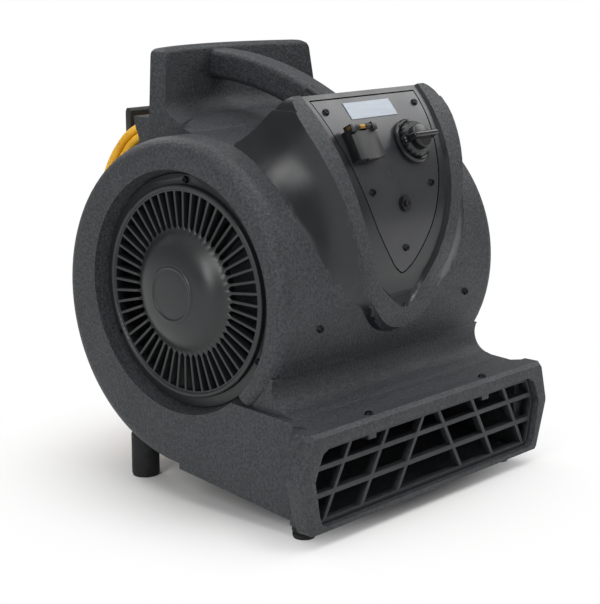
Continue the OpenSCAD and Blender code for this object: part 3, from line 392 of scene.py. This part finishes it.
def lead_route():
    turns = []
    for i in range(STEPS_ROUND * TURNS + 1):
        k = i / STEPS_ROUND
        climb = min(max((k - TURNS / 2 + 0.25) / 0.5, 0), 1)
        x, s = place_on_turn(i % STEPS_ROUND, PITCH * min(k, TURNS - k))
        turns.append(on_drum(x, s, TURN_R + LAYER * climb))
    low = GLAND_TIP + Vector((1, 50, -46))
    inside = on_drum(INSIDE_X, INSIDE_S, INSIDE_R)
    along = (on_drum(INSIDE_X, INSIDE_S + 1, INSIDE_R)
             - on_drum(INSIDE_X, INSIDE_S - 1, INSIDE_R)).normalized()
    up = Vector((0, 0, 1))
    bend = bezier(GLAND_TIP + Vector((0, 4, 0)), GLAND_TIP + Vector((0, 29.4, 0)), low + 25.4 * up,
                  low, 8)
    drop = bezier(low, low - 42 * up, inside + 44 * along, inside, 8)
    join = []
    for i in range(1, 8):
        t = i / 8
        w = t * t * (3 - 2 * t)
        join.append(on_drum(INSIDE_X + (HALF_X - INSIDE_X) * w,
                            INSIDE_S - (INSIDE_S + 0.6 * (HALF_S - CORNER)) * t,
                            INSIDE_R + (TURN_R - INSIDE_R) * w))
    end = turns[-1]
    onwards = (end - turns[-2]).normalized()
    tail = bezier(end + 6 * onwards, end + 26 * onwards, PLUG_TOP + 36 * up, PLUG_TOP + 6 * up, 8)
    points = [GLAND_TIP] + bend + drop[1:] + join + turns + tail + [PLUG_TOP]
    return [p / 1000 for p in points]


def make_lead(points):
    curve = bpy.data.curves.new("mains_lead", "CURVE")
    curve.dimensions = "3D"
    curve.bevel_depth = LEAD_D / 2000
    curve.bevel_resolution = 3
    curve.resolution_u = 4
    curve.use_fill_caps = True
    spline = curve.splines.new("BEZIER")
    spline.bezier_points.add(len(points) - 1)
    for bead, place in zip(spline.bezier_points, points):
        bead.co = place
        bead.handle_left_type = bead.handle_right_type = "AUTO"
    lead = bpy.data.objects.new("mains_lead", curve)
    bpy.context.collection.objects.link(lead)
    return stand_in_for(lead, "base", "cord_yellow", "jacket",
                        "cord_lead", "cord_hank", "cord_tail")


lead_points = lead_route()
lead = make_lead(lead_points)
bpy.context.view_layer.update()
plug = moulded_copy("plug_body", "plug_moulding", 0.5)
stand_in_for(plug, "base", "cord_yellow", "plug", "plug_body")

# The drum's front arc and the curved console face: radius, how far the centre lies behind the fan
# axis, and its height, in metres.
DRUM_R, DRUM_BACK, DRUM_Z = 0.150, 0.002, 0.227
CONSOLE_R, CONSOLE_BACK, CONSOLE_Z = 0.189, 0.031, 0.276


def from_drum(place):
    return math.hypot(place.y - AXIS_Y - DRUM_BACK, place.z - DRUM_Z)


def from_console(place):
    return math.hypot(place.y - AXIS_Y - CONSOLE_BACK, place.z - CONSOLE_Z)


# How far a value has come along a run, from 0 to 1.
def share(value, start, run):
    return min(max((value - start) / run, 0.0), 1.0)


# The recess inside the console rim: half widths at their heights, in millimetres. It runs out over
# the top edge of the hood, and its walls slope. Floor and mouth lie this far over the console face.
RECESS_POINTS = [(205.4, 0), (207, 4), (212, 13), (219, 23), (227, 32), (242, 43), (258, 51),
                 (287, 63), (322, 73), (366, 82), (390, 86), (408, 89), (420, 90.5), (432, 91)]
RECESS_SLOPE, FLOOR_AT, MOUTH_AT = 5.0, -0.4, 6.0
# Edge of the control panel, the width of the shadow gap left round it, and the floor of the gap.
PANEL_POINTS = [(237.4, 0), (239, 5), (250, 18), (283, 42), (320, 58), (360, 70), (388, 77),
                (412, 81)]
PANEL_GAP, GAP_FLOOR_AT = 1.5, -2.8


# A smooth line through the points, with a few places between each two.
def through(points, between):
    ends = [points[0]] + points + [points[-1]]
    line = []
    for p0, p1, p2, p3 in zip(ends, ends[1:], ends[2:], ends[3:]):
        for i in range(between):
            t = i / between
            line.append(tuple(0.5 * (2 * b + (c - a) * t + (2 * a - 5 * b + 4 * c - d) * t * t
                                     + (3 * b - a - 3 * c + d) * t ** 3)
                              for a, b, c, d in zip(p0, p1, p2, p3)))
    return line + [points[-1]]


RECESS = through(RECESS_POINTS, 4)
PANEL = through(PANEL_POINTS, 4)


# Depth of a place that lies proud of the console face, in millimetres.
def console_y(z, proud):
    front = math.sqrt((CONSOLE_R * 1000 + proud) ** 2 - (z - CONSOLE_Z * 1000) ** 2)
    return AXIS_Y * 1000 + CONSOLE_BACK * 1000 - front


# The outline with a margin all round.
def grown(outline, margin):
    wider = []
    for i, (z, x) in enumerate(outline):
        (z0, x0), (z1, x1) = outline[max(i - 1, 0)], outline[min(i + 1, len(outline) - 1)]
        run = math.hypot(z1 - z0, x1 - x0)
        wider.append((z - margin * (x1 - x0) / run, x + margin * (z1 - z0) / run))
    return wider


RECESS_MOUTH = grown(RECESS, RECESS_SLOPE)
PANEL_SEAT = grown(PANEL, PANEL_GAP)
PANEL_SEAT.append((PANEL_SEAT[-1][0] + PANEL_GAP, PANEL_SEAT[-1][1]))


def half_width(outline, z):
    for (z0, x0), (z1, x1) in zip(outline, outline[1:]):
        if z0 <= z <= z1:
            return x0 + (x1 - x0) * (z - z0) / (z1 - z0)
    return 0.0


# The lower tip of the console rim leans out from the drum a little further than the solid does. The
# floor of the recess goes with it and gets shallow towards the tip. Lengths in metres.
FRONT_Y, FRONT_HALF, FRONT_LOW = AXIS_Y - 0.1, 0.1, 0.15
LEAN, LEAN_FROM, LEAN_RUN = 0.009, 0.236, 0.046
ROWS, ROW_LOW, ROW_STEP, ROW_CLEAR = 24, 0.1915, 0.002, 0.0002
RIM_PROUD, RIM_HEIGHT, DRUM_SKIN = 0.004, 0.0035, 0.004
FLOOR_SHARE, FLOOR_LEAN = 1.05, 1.3
TIP_HALF, TIP_LOW, TIP_HIGH = 0.024, 0.197, 0.2175
TIP_DEPTH, TIP_FALL, FALL_FROM, FALL_RUN = 0.0008, 0.0034, 0.202, 0.0155


def lean_at(z):
    low = share(-z, -LEAN_FROM, LEAN_RUN)
    return LEAN * low * low * (3 - 2 * low)


def in_front(place):
    return place.y < FRONT_Y and abs(place.x) < FRONT_HALF


def off_drum(place):
    return from_drum(place) > DRUM_R - DRUM_SKIN


# Level rows across the tip let it lean in a smooth curve.
def cut_rows(piece):
    only(piece)
    for row in range(ROWS):
        level = ROW_LOW + ROW_STEP * row
        for face in piece.data.polygons:
            heights = [piece.data.vertices[corner].co.z for corner in face.vertices]
            face.select = (min(heights) < level - ROW_CLEAR and max(heights) > level + ROW_CLEAR
                           and in_front(face.center) and off_drum(face.center))
        bpy.ops.object.mode_set(mode="EDIT")
        bpy.ops.mesh.bisect(plane_co=(0, 0, level), plane_no=(0, 0, 1))
        bpy.ops.mesh.select_all(action="DESELECT")
        bpy.ops.object.mode_set(mode="OBJECT")


def lean_tip_out(piece):
    cut_rows(piece)
    for place in (vertex.co for vertex in piece.data.vertices):
        if not (in_front(place) and FRONT_LOW < place.z < LEAN_FROM):
            continue
        lean = lean_at(place.z)
        proud = share(from_drum(place), DRUM_R, RIM_PROUD)
        deep = 0.0
        if abs(place.x) * 1000 < half_width(RECESS_MOUTH, place.z * 1000) + 0.5:
            over_floor = (from_console(place) - CONSOLE_R) / RIM_HEIGHT
            deep = min(max(FLOOR_SHARE - over_floor, 0.0), 1.0)
        place.y -= lean * (proud * (1 - deep) + FLOOR_LEAN * deep)
        at_tip = abs(place.x) < TIP_HALF and TIP_LOW < place.z < TIP_HIGH
        if at_tip and off_drum(place):
            crest = math.sqrt((DRUM_R + RIM_PROUD) ** 2 - (place.z - DRUM_Z) ** 2)
            depth = TIP_DEPTH + TIP_FALL * share(place.z, FALL_FROM, FALL_RUN)
            place.y = min(place.y, AXIS_Y + DRUM_BACK - crest - lean + depth)


# A shield-shaped block that is cut out of the hood: its outline at the floor and at the mouth, and
# how proud of the console face both lie.
def make_shield_block(floor, mouth, floor_at, mouth_at):
    bpy.ops.mesh.primitive_grid_add(x_subdivisions=3, y_subdivisions=len(floor) - 1, size=1)
    block = bpy.context.object
    places = []
    for (zm, xm), (zf, xf) in zip(mouth, floor):
        places += [(-xm, console_y(zm, mouth_at), zm), (-xf, console_y(zf, floor_at), zf),
                   (xf, console_y(zf, floor_at), zf), (xm, console_y(zm, mouth_at), zm)]
    for vertex, place in zip(block.data.vertices, places):
        vertex.co = Vector(place) / 1000
    only(block)
    bpy.ops.object.mode_set(mode="EDIT")
    bpy.ops.mesh.select_all(action="SELECT")
    bpy.ops.mesh.region_to_loop()
    bpy.ops.mesh.extrude_edges_move(TRANSFORM_OT_translate={"value": (0, -0.02, 0)})
    bpy.ops.mesh.edge_face_add()
    bpy.ops.mesh.select_all(action="SELECT")
    bpy.ops.mesh.quads_convert_to_tris()
    bpy.ops.mesh.normals_make_consistent(inside=False)
    bpy.ops.object.mode_set(mode="OBJECT")
    return block


# What a rounded corner takes off the upper ends of the rim.
def make_corner_block(side):
    radius, x, y, z = 0.014, 0.0985, AXIS_Y - 0.09, 0.4055
    half, deep = 0.015, 0.05
    bpy.ops.mesh.primitive_cube_add(size=1, location=(side * (x + half), y, z + half),
                                    scale=(2 * half, deep, 2 * half))
    block = bpy.context.object
    bpy.ops.object.transform_apply()
    bpy.ops.mesh.primitive_cylinder_add(vertices=96, radius=radius, depth=0.2,
                                        location=(side * x, y, z),
                                        rotation=(math.radians(90), 0, 0))
    core = bpy.context.object
    bpy.ops.object.transform_apply()
    cut_out(block, core)
    return block


def cut_out(piece, block):
    apply_modifier(piece, "BOOLEAN", operation="DIFFERENCE", object=block, solver="EXACT")
    bpy.data.objects.remove(block)


# The deck over the outlet runs into the drum's fillet and into the bezel without a step: the depth
# of its two edges, the heights they lie between, and where they move to.
DECK_BACK, BACK_HEIGHTS, BACK_EASED = -0.139, (0.1165, 0.1195), (-0.152, 0.11515)
DECK_FRONT, FRONT_HEIGHTS, FRONT_EASED = -0.172, (0.115, 0.116), 0.11405
DECK_EDGE = 0.0004


def on_deck_edge(place, depth, heights):
    return abs(place.y - depth) < DECK_EDGE and heights[0] < place.z < heights[1]


def ease_deck(piece):
    for place in (vertex.co for vertex in piece.data.vertices):
        if on_deck_edge(place, DECK_BACK, BACK_HEIGHTS):
            place.y, place.z = BACK_EASED
        elif on_deck_edge(place, DECK_FRONT, FRONT_HEIGHTS):
            place.z = FRONT_EASED
    only(piece)
    bpy.ops.object.mode_set(mode="EDIT")
    bpy.ops.mesh.select_all(action="SELECT")
    bpy.ops.mesh.remove_doubles(threshold=0.00005)
    bpy.ops.object.mode_set(mode="OBJECT")


# The housing: the console's crest, the outlet bezel and the tower get their moulding radii.
CREST_RADIUS, BEZEL_RADIUS, TOWER_RADIUS = 2.4, 2.5, 2.5


def on_crest(place):
    return (from_console(place) > CONSOLE_R + 0.0015 and place.y < AXIS_Y - 0.05
            and 0.15 < place.z < 0.43)


def on_bezel(place):
    return place.y < AXIS_Y - 0.165 and place.z < 0.118


def on_tower(place):
    return place.y > AXIS_Y + 0.04 and place.z > 0.384


def make_housing():
    piece = merged_copy("housing", "housing_moulding")
    cut_out(piece, make_shield_block(RECESS, RECESS_MOUTH, FLOOR_AT, MOUTH_AT))
    cut_out(piece, make_shield_block(PANEL_SEAT, PANEL_SEAT, GAP_FLOOR_AT, 0.0))
    for side in (-1, 1):
        cut_out(piece, make_corner_block(side))
    round_edges(piece, CREST_RADIUS, on_crest)
    lean_tip_out(piece)
    ease_deck(piece)
    round_edges(piece, BEZEL_RADIUS, on_bezel)
    round_edges(piece, TOWER_RADIUS, on_tower)
    smooth(piece, 35)
    return stand_in_for(piece, "base", "housing", "housing", "housing")


housing = make_housing()


# Inlet guards: the dome's skirt flares out and runs onto each rib with a small tooth. The profile
# gives radius and height over the guard's seat, in millimetres, with a plain raised ring. The teeth
# go on from its last place, in rows with a share of the reach and a height.
GUARD_SEAT, RIBS, SKIN_THICK = 0.153, 52, 0.0003
DOME = [(0.0, 27.6), (14, 27.3), (22, 26.8), (25.2, 26.5), (26.0, 27.3), (27.6, 27.5),
        (29.2, 27.1), (30.0, 26.0), (35, 25.3), (42, 23.8), (48, 21.6), (53, 18.6), (57, 15.2),
        (60, 12.6), (62.4, 10.6)]
SKIRT_R = DOME[-1][0]
TOOTH_REACH = [8.5, 4.2, 1.6, 4.2]
TOOTH_ROWS = [(0.5, 9.5), (1.0, 8.55)]


def make_guard(node, name, side):
    guard = moulded_copy(node, name, 0.6)
    rings, steps = len(DOME) + len(TOOTH_ROWS), len(TOOTH_REACH) * RIBS
    bpy.ops.mesh.primitive_grid_add(x_subdivisions=steps, y_subdivisions=rings - 1, size=1)
    skin = bpy.context.object
    for index, vertex in enumerate(skin.data.vertices):
        ring, step = divmod(index, steps + 1)
        if ring < len(DOME):
            radius, height = DOME[ring]
        else:
            part, height = TOOTH_ROWS[ring - len(DOME)]
            radius = SKIRT_R + part * TOOTH_REACH[step % len(TOOTH_REACH)]
        turn = 2 * math.pi * step / steps
        vertex.co = (side * (GUARD_SEAT + height / 1000), AXIS_Y + radius / 1000 * math.cos(turn),
                     AXIS_Z + radius / 1000 * math.sin(turn))
    only(skin)
    bpy.ops.object.mode_set(mode="EDIT")
    bpy.ops.mesh.select_all(action="SELECT")
    bpy.ops.mesh.remove_doubles(threshold=0.000001)
    bpy.ops.mesh.normals_make_consistent(inside=False)
    bpy.ops.object.mode_set(mode="OBJECT")
    if sum(face.normal.x * side for face in skin.data.polygons) < 0:
        skin.data.flip_normals()
    apply_modifier(skin, "SOLIDIFY", thickness=SKIN_THICK, offset=-1.0)
    smooth(skin, 40)
    only(guard)
    skin.select_set(True)
    bpy.ops.object.join()
    return stand_in_for(guard, "base", "grille_black", "grille", node)


make_guard("inlet_grille_left", "inlet_guard_left", -1)
make_guard("inlet_grille_right", "inlet_guard_right", 1)

# Moulded pieces with their edge radii
for node, name, radius, body, slot, finish in [
        ("outlet_grille", "outlet_guard", 1.0, "base", "grille_black", "outlet"),
        ("dial_ring", "dial_bezel", 0.5, "base", "control_black", "knob"),
        ("socket_flap", "sprung_flap", 0.7, "flap", "control_black", "flap"),
        ("socket_body", "socket_moulding", 0.5, "base", "control_black", "control"),
        ("cord_hook_upper", "upper_lead_hook", 1.2, "base", "grille_black", "hooks"),
        ("cord_hook_lower", "lower_lead_hook", 1.2, "base", "grille_black", "hooks")]:
    stand_in_for(moulded_copy(node, name, radius), body, slot, finish, node)


# A frame a little under the console face: local Z points out of the face, local Y up along it.
UNDER_FACE = 0.0006


def on_face(x, z):
    tilt = math.asin((z / 1000 - CONSOLE_Z) / CONSOLE_R)
    outwards = Vector((0, -math.cos(tilt), math.sin(tilt)))
    upwards = Vector((0, math.sin(tilt), math.cos(tilt)))
    turn = Matrix((Vector((1, 0, 0)), upwards, outwards)).transposed().to_4x4()
    centre = Vector((x / 1000, AXIS_Y + CONSOLE_BACK, CONSOLE_Z))
    return Matrix.Translation(centre + (CONSOLE_R - UNDER_FACE) * outwards) @ turn


# The speed knob: the fluted skirt of the solid, a round hub and a thumb wing with rounded ends. Its
# place on the console face and the wing's end radius are in millimetres, the rest in metres.
KNOB_X, KNOB_Z = 33, 366
SKIRT_TOP = 0.0128
HUB_R, HUB_HEIGHT, HUB_MIDDLE, HUB_EDGE = 0.0128, 0.006, 0.0152, 0.0014
WING_X, WING_MIDDLE, WING_SIZE = 0.0007, 0.0185, (0.038, 0.0084, 0.0125)
WING_TAPER, WING_END, WING_TOP, WING_END_R, WING_EDGE = 0.62, 0.018, 0.024, 8.5, 0.0012


def make_knob():
    face = on_face(KNOB_X, KNOB_Z)
    skirt = merged_copy("speed_knob", "winged_knob")
    skirt.data.transform(face.inverted())
    only(skirt)
    bpy.ops.object.mode_set(mode="EDIT")
    bpy.ops.mesh.select_all(action="SELECT")
    bpy.ops.mesh.bisect(plane_co=(0, 0, SKIRT_TOP), plane_no=(0, 0, 1), use_fill=True,
                        clear_outer=True)
    bpy.ops.object.mode_set(mode="OBJECT")

    bpy.ops.mesh.primitive_cylinder_add(vertices=64, radius=HUB_R, depth=HUB_HEIGHT,
                                        location=(0, 0, HUB_MIDDLE))
    hub = bpy.context.object
    bpy.ops.object.transform_apply()
    apply_modifier(hub, "BEVEL", width=HUB_EDGE, segments=3, limit_method="ANGLE")

    bpy.ops.mesh.primitive_cube_add(size=1, location=(WING_X, 0, WING_MIDDLE),
                                    scale=WING_SIZE)
    wing = bpy.context.object
    bpy.ops.object.transform_apply()
    for vertex in wing.data.vertices:
        if vertex.co.z > WING_MIDDLE:
            vertex.co.y *= WING_TAPER
    round_edges(wing, WING_END_R,
                lambda place: place.z > WING_TOP and abs(place.x - WING_X) > WING_END, segments=8)
    apply_modifier(wing, "BEVEL", width=WING_EDGE, segments=3, limit_method="ANGLE",
                   use_clamp_overlap=True)

    bpy.ops.object.select_all(action="DESELECT")
    for piece in (wing, hub, skirt):
        piece.select_set(True)
    bpy.context.view_layer.objects.active = skirt
    bpy.ops.object.join()
    skirt.data.transform(face)
    smooth(skirt, 35)
    return stand_in_for(skirt, "knob", "control_black", "knob", "speed_knob")


make_knob()


# The concave flanks of the console hood and the recess inside its rim are polished, and their
# finish is painted darker than the housing's own charcoal: painted shade.
HOOD_LOW, HOOD_HIGH, HOOD_BACK, HOOD_HALF = 0.155, 0.43, AXIS_Y - 0.035, 0.14
FLANK_TURN, FLANK_TOP, SKIN = 0.12, 0.0013, 0.0008


def polish_and_shade_flanks():
    housing.data.materials.append(finishes["flank"])
    vertices = housing.data.vertices
    for face in housing.data.polygons:
        place, normal = face.center, face.normal
        on_hood = (HOOD_LOW < place.z < HOOD_HIGH and place.y <= HOOD_BACK
                   and abs(place.x) <= HOOD_HALF)
        if not on_hood:
            continue
        upright = place + Vector((0, lean_at(place.z), 0))
        proud = from_console(upright) - CONSOLE_R
        within = abs(place.x) * 1000 < half_width(RECESS_MOUTH, place.z * 1000) - 0.2
        inside = within and proud > -SKIN
        clear = max(from_drum(vertices[i].co) for i in face.vertices) > DRUM_R + SKIN
        if inside or (clear and abs(normal.x) > FLANK_TURN and proud < FLANK_TOP):
            face.material_index = 1


polish_and_shade_flanks()


# Floor, world and soft studio light
def make_stage():
    bpy.ops.object.select_all(action="DESELECT")
    bpy.ops.mesh.primitive_plane_add(size=8.0, location=(0, 0, 0))
    floor = bpy.context.object
    floor.name = "floor"
    material, tree, shader, place = new_material("matt_white_floor", {
        "Base Color": linear("#f4f4f3"), "Roughness": 0.9, "Specular IOR Level": 0.1})
    # Away from the object the floor fades into the white background, for the rays that show it.
    fade_from, fade_to = 0.15, 0.39
    path = add_node(tree, "ShaderNodeLightPath")
    seen = add_node(tree, "ShaderNodeMath", {0: path.outputs["Is Camera Ray"],
                                             1: path.outputs["Is Glossy Ray"]},
                    operation="MAXIMUM")
    away = add_node(tree, "ShaderNodeVectorMath", {0: place}, operation="LENGTH")
    fade = add_node(tree, "ShaderNodeMapRange", {"Value": away.outputs["Value"]},
                    {"From Min": fade_from, "From Max": fade_to},
                    interpolation_type="SMOOTHSTEP")
    far = add_node(tree, "ShaderNodeMath", {0: seen.outputs["Value"], 1: fade.outputs["Result"]},
                   operation="MULTIPLY")
    white = add_node(tree, "ShaderNodeEmission", values={"Color": (1, 1, 1, 1), "Strength": 1.0})
    both = add_node(tree, "ShaderNodeMixShader", {"Fac": far.outputs["Value"]})
    tree.links.new(shader.outputs["BSDF"], both.inputs[1])
    tree.links.new(white.outputs["Emission"], both.inputs[2])
    tree.links.new(both.outputs["Shader"], tree.nodes["Material Output"].inputs["Surface"])
    floor.data.materials.append(material)

    world = bpy.data.worlds.new("studio")
    bpy.context.scene.world = world
    world.use_nodes = True
    tree = world.node_tree
    light = tree.nodes["Background"]
    light.inputs["Color"].default_value = linear("#ffffff")
    light.inputs["Strength"].default_value = 0.3
    white = add_node(tree, "ShaderNodeBackground", values={"Color": (1, 1, 1, 1), "Strength": 1.0})
    path = add_node(tree, "ShaderNodeLightPath")
    seen = add_node(tree, "ShaderNodeMath", {0: path.outputs["Is Camera Ray"],
                                             1: path.outputs["Is Transmission Ray"]},
                    operation="MAXIMUM")
    both = add_node(tree, "ShaderNodeMixShader", {"Fac": seen.outputs["Value"]})
    tree.links.new(light.outputs["Background"], both.inputs[1])
    tree.links.new(white.outputs["Background"], both.inputs[2])
    tree.links.new(both.outputs["Shader"], tree.nodes["World Output"].inputs["Surface"])

    def softbox(name, place, aim, size, watts):
        data = bpy.data.lights.new(name, "AREA")
        data.shape = "RECTANGLE"
        data.size, data.size_y = size
        data.energy = watts
        lamp = bpy.data.objects.new(name, data)
        lamp.location = place
        lamp.rotation_euler = (Vector(aim) - Vector(place)).to_track_quat("-Z", "Y").to_euler()
        bpy.context.collection.objects.link(lamp)

    softbox("overhead_softbox", (-0.1, 0.3, 2.2), (0, 0, 0.2), (1.8, 1.8), 15)
    softbox("high_front_softbox", (0.2, -0.9, 2.2), (0, -0.1, 0.3), (0.9, 0.9), 13)
    softbox("right_softbox", (1.9, -0.5, 1.95), (0, -0.08, 0.4), (1.3, 1.3), 18)
    softbox("back_softbox", (0.3, 1.9, 1.6), (0, 0, 0.25), (1.4, 1.2), 12)
    softbox("left_softbox", (-2.0, -0.5, 1.2), (0, 0, 0.25), (0.8, 1.4), 19)
    softbox("front_softbox", (0.9, -2.0, 1.3), (0, 0, 0.2), (1.2, 1.2), 6)


make_stage()
bpy.context.scene.view_settings.view_transform = "Standard"
